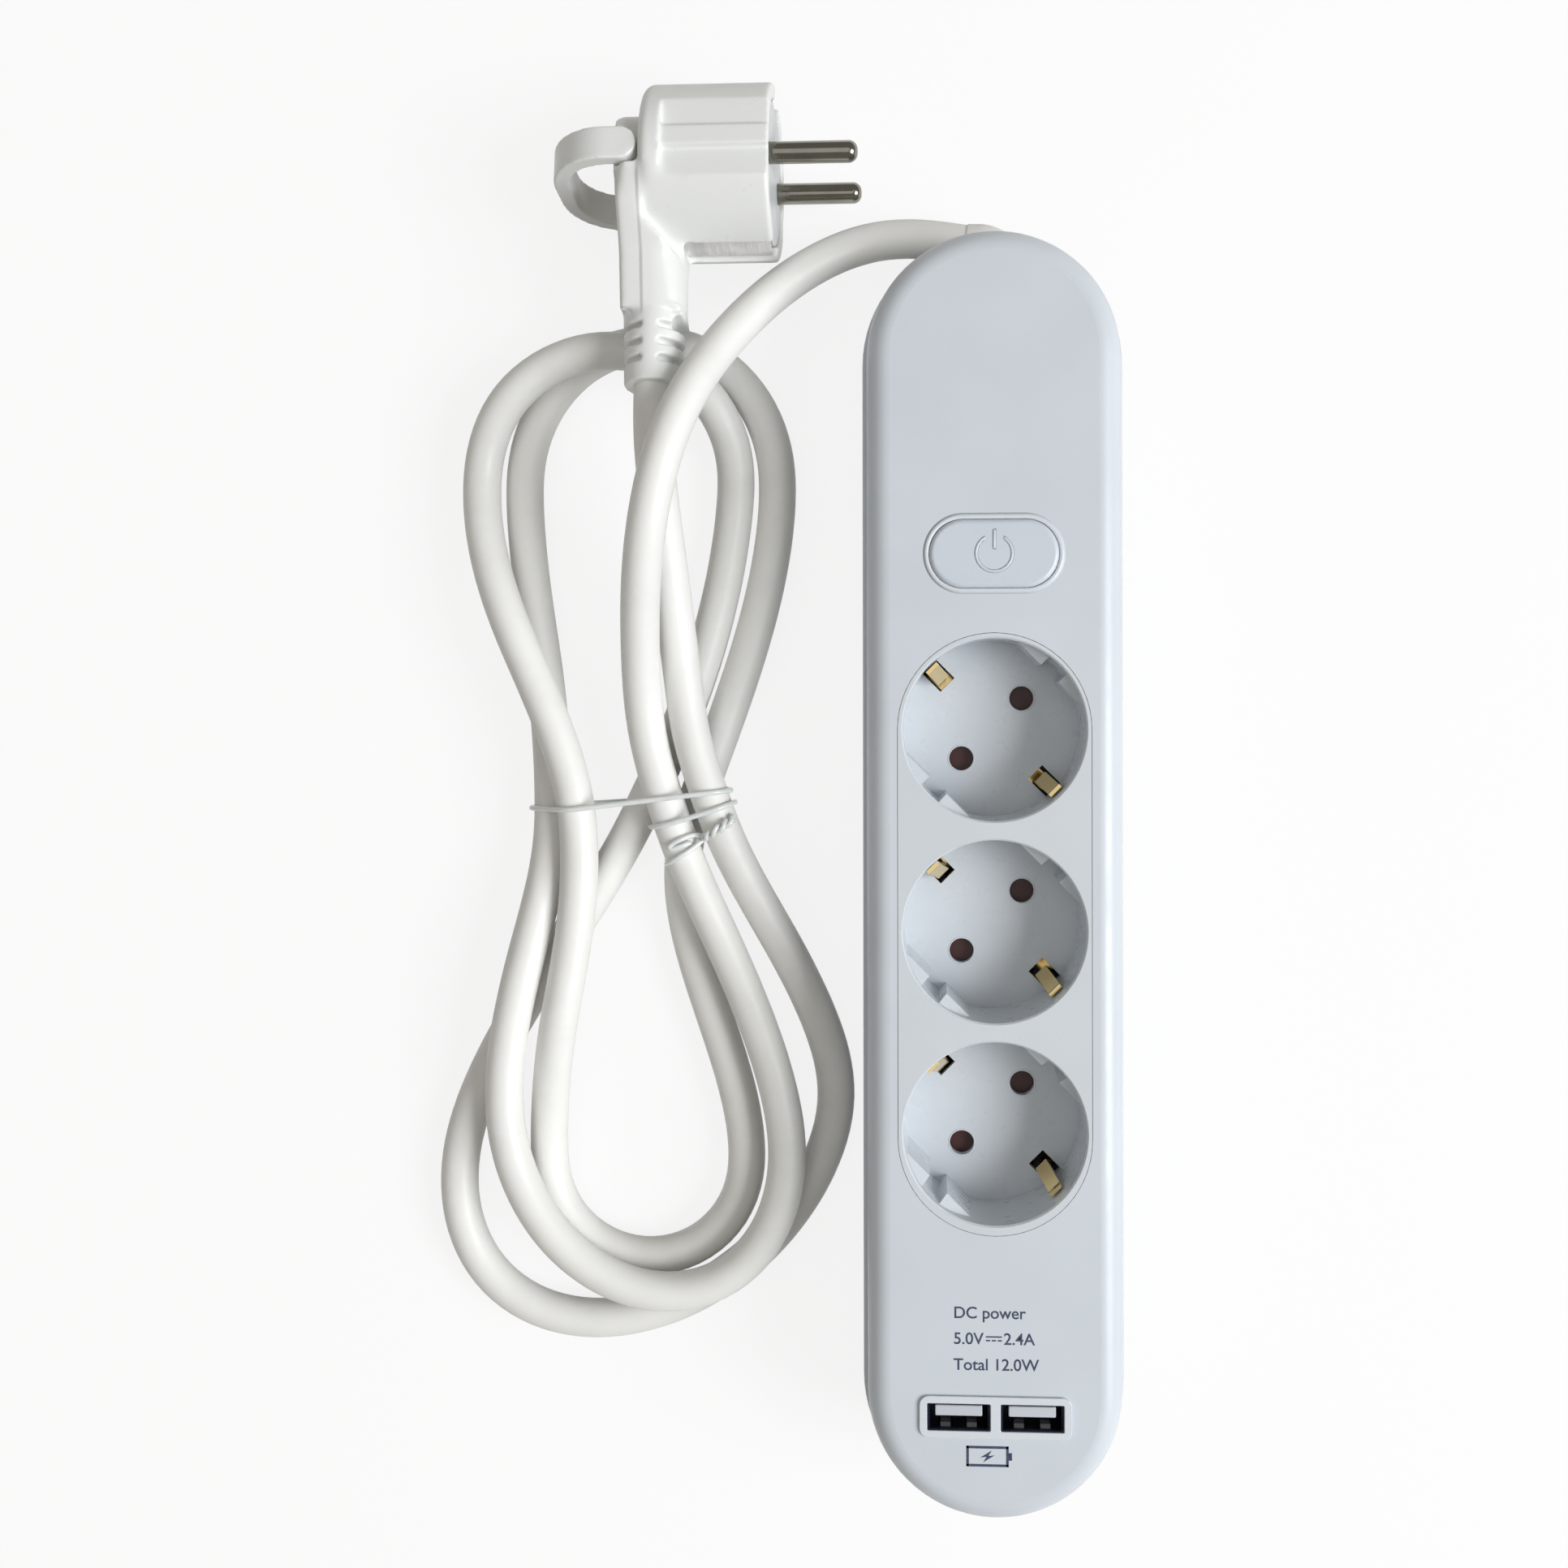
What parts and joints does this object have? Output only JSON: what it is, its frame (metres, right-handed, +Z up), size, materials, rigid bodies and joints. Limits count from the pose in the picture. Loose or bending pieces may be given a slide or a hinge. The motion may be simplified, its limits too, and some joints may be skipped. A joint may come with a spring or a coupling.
{
  "type": "extension cord",
  "caption": "Earthed power strip with recessed round sockets, a push switch and charging ports; its cord is folded in a tied hank and ends in an angled earthed plug with a pull ring.",
  "frame": {"origin": "middle of the strip's underside, on the surface it lies on", "axes": "+Z up, +Y along the strip towards the end where the cord leaves, +X to the side away from the hank"},
  "size_m": [0.159, 0.3159, 0.0438],
  "materials": {
    "strip_shell": "satin",
    "socket_plastic": "satin",
    "shutter_plastic": "matte",
    "cord_plastic": "satin",
    "plug_plastic": "satin",
    "tie_plastic": "clear",
    "contact_brass": "polished",
    "nickel": "polished",
    "zinc_steel": "satin",
    "dark_plastic": "matte",
    "board": "satin",
    "capacitor_sleeve": "gloss",
    "wire_brown": "satin",
    "wire_blue": "satin",
    "wire_green": "satin"
  },
  "bodies": {
    "strip": {"bottom_cover": "strip_shell", "top_cover": "strip_shell", "socket_panel": "socket_plastic", "live_busbar": "contact_brass", "neutral_busbar": "contact_brass", "earth_busbar": "contact_brass", "switch_spring": "zinc_steel", "switch_body": "dark_plastic", "switch_tabs": "nickel", "usb_board": "board", "usb_port_left": "nickel", "usb_port_right": "nickel", "usb_tongues": "socket_plastic", "usb_contacts": "contact_brass", "usb_transformer": "dark_plastic", "usb_capacitors": "capacitor_sleeve", "board_screws": "zinc_steel", "case_screws": "zinc_steel", "cord_clamp": "socket_plastic", "clamp_screws": "zinc_steel", "cord_tail": "cord_plastic", "live_wires": "wire_brown", "neutral_wires": "wire_blue", "earth_wire": "wire_green", "cord_boot": "cord_plastic", "cord_lead": "cord_plastic", "cord_hank": "cord_plastic", "plug_lead": "cord_plastic", "cord_tie": "tie_plastic", "plug_body": "plug_plastic", "plug_front": "plug_plastic", "plug_pins": "nickel", "plug_earth_contact": "nickel"},
    "button": {"switch_button": "strip_shell"},
    "shutter_a": {"shutter_1": "shutter_plastic"},
    "shutter_b": {"shutter_2": "shutter_plastic"},
    "shutter_c": {"shutter_3": "shutter_plastic"},
    "ring": {"plug_ring": "plug_plastic"}
  },
  "joints": [
    {"name": "switch_press", "type": "slide", "parent": "strip", "child": "button", "axis": [0, 0, -1], "range_m": [0, 0.0025], "stiffness_N_per_m": 400, "springref_m": -0.0015, "deforming": ["switch_spring"]},
    {"name": "shutter_1_turn", "type": "hinge", "parent": "strip", "child": "shutter_a", "pos_m": [0, 0.031, 0.0192], "axis": [0, 0, 1], "range_deg": [0, 35], "stiffness_Nm_per_rad": 0.002, "springref_deg": -17.19},
    {"name": "shutter_2_turn", "type": "hinge", "parent": "strip", "child": "shutter_b", "pos_m": [0, -0.012, 0.0192], "axis": [0, 0, 1], "range_deg": [0, 35], "stiffness_Nm_per_rad": 0.002, "springref_deg": -17.19},
    {"name": "shutter_3_turn", "type": "hinge", "parent": "strip", "child": "shutter_c", "pos_m": [0, -0.055, 0.0192], "axis": [0, 0, 1], "range_deg": [0, 35], "stiffness_Nm_per_rad": 0.002, "springref_deg": -17.19},
    {"name": "plug_ring_fold", "type": "hinge", "parent": "strip", "child": "ring", "pos_m": [-0.08115, 0.15601, 0.01966], "axis": [0, -0.1564, -0.9877], "range_deg": [0, 85]}
  ]
}
